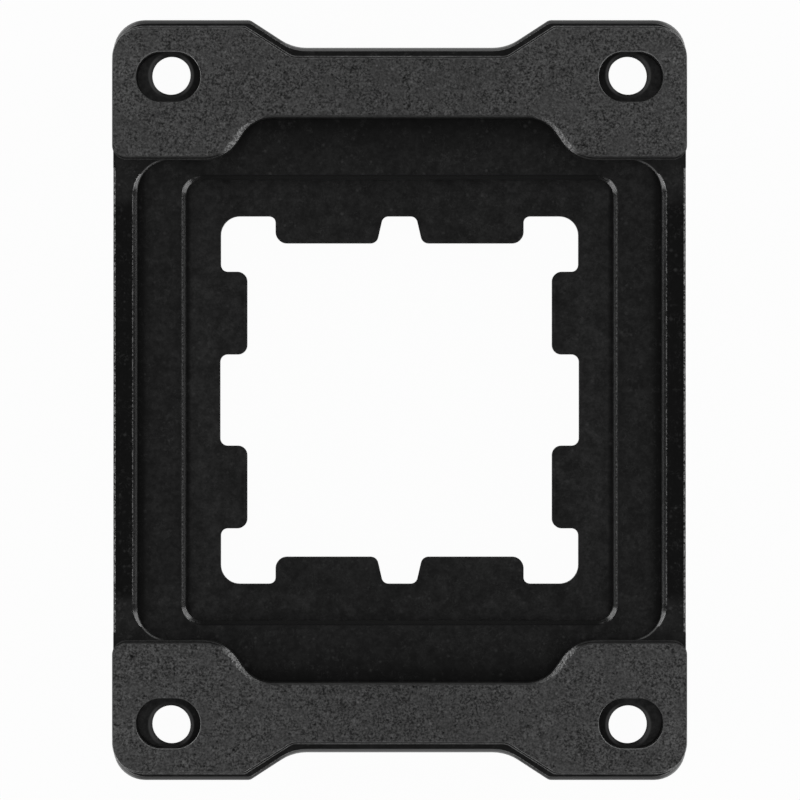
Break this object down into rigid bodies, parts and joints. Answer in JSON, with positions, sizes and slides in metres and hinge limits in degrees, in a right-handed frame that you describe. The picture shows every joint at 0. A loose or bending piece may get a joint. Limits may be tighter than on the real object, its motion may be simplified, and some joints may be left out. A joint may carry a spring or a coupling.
{
  "type": "cpu retention bracket",
  "caption": "Milled contact frame that clamps a square processor in its socket, with nested pockets, pressing tabs round an opening, screw holes and insulating end pads.",
  "frame": {"origin": "centre of the footprint, on the cooler side's face that the bracket lies on", "axes": "+Z points out of the side that meets the circuit board, +Y runs along the bracket towards the rear pad, and +X across it"},
  "size_m": [0.054, 0.0716, 0.006],
  "materials": {
    "anodised_metal": "fine-blasted and anodised black, satin, with bright wear along the broken edges",
    "pad_sheet": "matt black insulating sheet with a fine grey speckle"
  },
  "bodies": {
    "root": {"frame": "anodised_metal", "rear_pad": "pad_sheet", "front_pad": "pad_sheet"}
  },
  "joints": []
}
